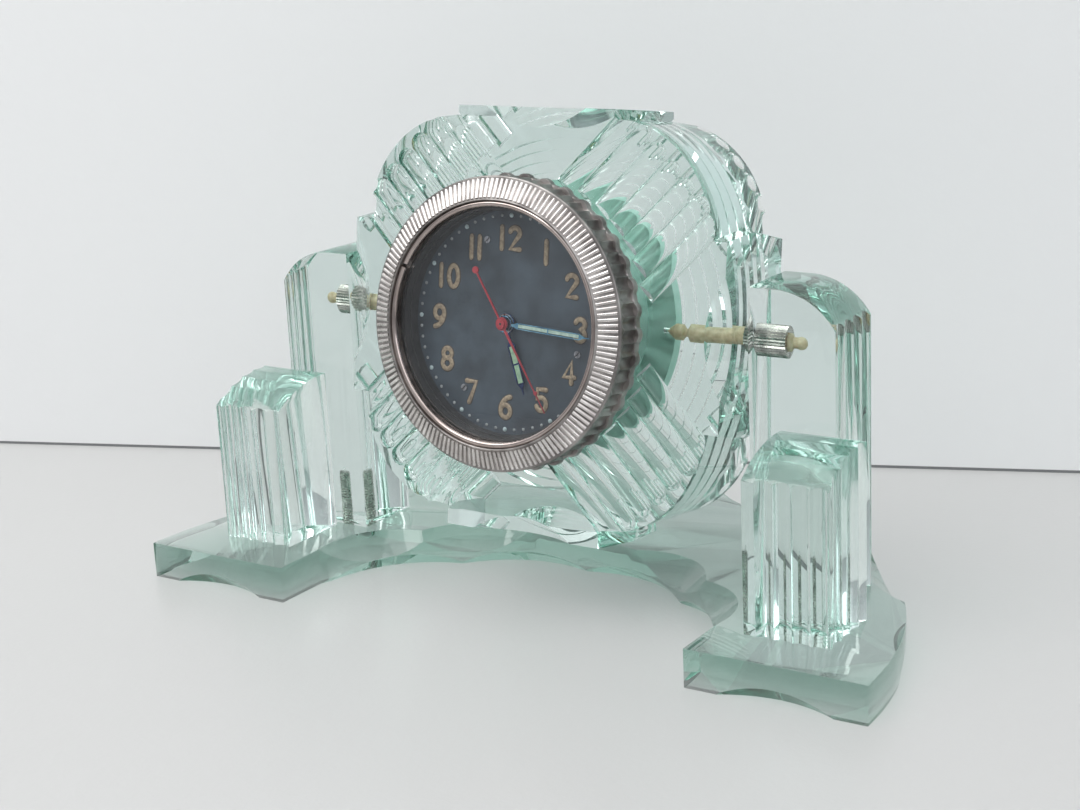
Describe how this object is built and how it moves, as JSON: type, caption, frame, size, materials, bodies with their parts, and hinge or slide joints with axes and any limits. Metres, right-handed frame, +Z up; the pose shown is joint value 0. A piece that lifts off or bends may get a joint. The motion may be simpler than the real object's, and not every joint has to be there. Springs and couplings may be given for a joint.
{
  "type": "desk clock",
  "caption": "Round cockpit clock with a fluted winding bezel, tilting in a stand carved from clear green acrylic.",
  "frame": {"origin": "on the table, under the middle of the base plate", "axes": "+X to the right of the dial, +Y to the back, +Z up"},
  "size_m": [0.218, 0.109, 0.1305],
  "materials": {
    "acrylic": "polished clear acrylic with a green tint",
    "bright_steel": "bright turned steel",
    "bone": "satin ivory-coloured rod",
    "plated_bezel": "satin plated metal, worn bright on the ribs",
    "case_steel": "satin turned steel",
    "brass": "satin brass",
    "movement_steel": "polished tool steel",
    "blued_steel": "blued steel",
    "red_hand": "red enamel",
    "dial_paint": "matt blue-grey paint",
    "black_paint": "satin black paint",
    "crystal": "clear mineral glass"
  },
  "bodies": {
    "stand": {"base_plate": "acrylic", "left_tower": "acrylic", "right_tower": "acrylic", "left_post": "acrylic", "right_post": "acrylic", "tower_screws": "bright_steel", "left_sleeve": "bright_steel", "right_sleeve": "bright_steel"},
    "head": {"clock_block": "acrylic", "left_pin": "bone", "right_pin": "bone", "case_body": "case_steel", "neck_ring": "case_steel", "clamp_nut": "bright_steel", "rear_cover": "case_steel", "cover_screws": "bright_steel", "dial": "dial_paint", "dial_screws": "bright_steel", "rehaut_ring": "black_paint", "main_plate": "brass", "rear_plate": "brass", "plate_pillars": "brass", "plate_screws": "blued_steel", "winding_stud": "movement_steel", "click_stud": "movement_steel", "minute_stud": "movement_steel", "balance_cock": "brass", "cock_screw": "blued_steel", "hairspring": "blued_steel"},
    "bezel": {"bezel_ring": "plated_bezel", "winding_ring": "case_steel", "crystal": "crystal", "crystal_retainer": "bright_steel"},
    "winding_wheel": {"winding_wheel": "movement_steel"},
    "ratchet": {"ratchet_wheel": "movement_steel", "barrel_arbor": "movement_steel"},
    "click": {"click": "movement_steel"},
    "seconds": {"fourth_wheel": "brass", "seconds_hand": "red_hand"},
    "minutes": {"centre_wheel": "brass", "cannon_pinion": "movement_steel", "minute_hand": "blued_steel"},
    "hours": {"hour_wheel": "brass", "hour_hand": "blued_steel"},
    "minute_wheel": {"minute_wheel": "brass"},
    "barrel": {"barrel": "brass", "barrel_lid": "brass", "mainspring": "movement_steel"},
    "third_wheel": {"third_wheel": "brass"},
    "escape_wheel": {"escape_wheel": "movement_steel"},
    "pallet_lever": {"pallet_lever": "movement_steel"},
    "balance": {"balance_wheel": "brass"}
  },
  "joints": [
    {"name": "head_tilt", "type": "hinge", "parent": "stand", "child": "head", "pos_m": [0, -0.0071, 0.0745], "axis": [1, 0, 0], "continuous": true},
    {"name": "bezel_turn", "type": "hinge", "parent": "head", "child": "bezel", "pos_m": [0, -0.0071, 0.0745], "axis": [0, -0.989, 0.1478], "continuous": true},
    {"name": "winding_wheel_turn", "type": "hinge", "parent": "head", "child": "winding_wheel", "pos_m": [-0.0234, -0.0071, 0.0745], "axis": [0, -0.989, 0.1478], "continuous": true},
    {"name": "ratchet_turn", "type": "hinge", "parent": "head", "child": "ratchet", "pos_m": [-0.0126, -0.0071, 0.0745], "axis": [0, -0.989, 0.1478], "continuous": true},
    {"name": "click_lift", "type": "hinge", "parent": "head", "child": "click", "pos_m": [-0.00966, -0.00829, 0.06651], "axis": [0, -0.989, 0.1478], "range_deg": [0, 12], "stiffness_Nm_per_rad": 0.0005, "springref_deg": -5.73},
    {"name": "seconds_turn", "type": "hinge", "parent": "head", "child": "seconds", "pos_m": [0, -0.0071, 0.0745], "axis": [0, -0.989, 0.1478], "continuous": true},
    {"name": "minutes_turn", "type": "hinge", "parent": "head", "child": "minutes", "pos_m": [0, -0.0071, 0.0745], "axis": [0, -0.989, 0.1478], "continuous": true},
    {"name": "hours_turn", "type": "hinge", "parent": "head", "child": "hours", "pos_m": [0, -0.0071, 0.0745], "axis": [0, -0.989, 0.1478], "continuous": true},
    {"name": "minute_wheel_turn", "type": "hinge", "parent": "head", "child": "minute_wheel", "pos_m": [0.005, -0.0071, 0.0745], "axis": [0, -0.989, 0.1478], "continuous": true},
    {"name": "barrel_turn", "type": "hinge", "parent": "head", "child": "barrel", "pos_m": [-0.0126, -0.0071, 0.0745], "axis": [0, -0.989, 0.1478], "continuous": true},
    {"name": "third_wheel_turn", "type": "hinge", "parent": "head", "child": "third_wheel", "pos_m": [0.00811, -0.00779, 0.06987], "axis": [0, -0.989, 0.1478], "continuous": true},
    {"name": "escape_wheel_turn", "type": "hinge", "parent": "head", "child": "escape_wheel", "pos_m": [0.00594, -0.00605, 0.0815], "axis": [0, -0.989, 0.1478], "continuous": true},
    {"name": "lever_rock", "type": "hinge", "parent": "head", "child": "pallet_lever", "pos_m": [0.00314, -0.00534, 0.0863], "axis": [0, -0.989, 0.1478], "range_deg": [-5, 5]},
    {"name": "balance_swing", "type": "hinge", "parent": "head", "child": "balance", "pos_m": [-0.00056, -0.00439, 0.09264], "axis": [0, -0.989, 0.1478], "range_deg": [-220, 220], "stiffness_Nm_per_rad": 0.0000043}
  ],
  "couplings": [
    {"joint": "winding_wheel_turn", "follows": "bezel_turn", "ratio": 5.3333},
    {"joint": "ratchet_turn", "follows": "bezel_turn", "ratio": -5.3333},
    {"joint": "minutes_turn", "follows": "seconds_turn", "ratio": 0.016667},
    {"joint": "hours_turn", "follows": "seconds_turn", "ratio": 0.0013889},
    {"joint": "minute_wheel_turn", "follows": "seconds_turn", "ratio": -0.0055556},
    {"joint": "barrel_turn", "follows": "seconds_turn", "ratio": -0.0027778},
    {"joint": "third_wheel_turn", "follows": "seconds_turn", "ratio": -0.13333},
    {"joint": "escape_wheel_turn", "follows": "seconds_turn", "ratio": -10}
  ]
}
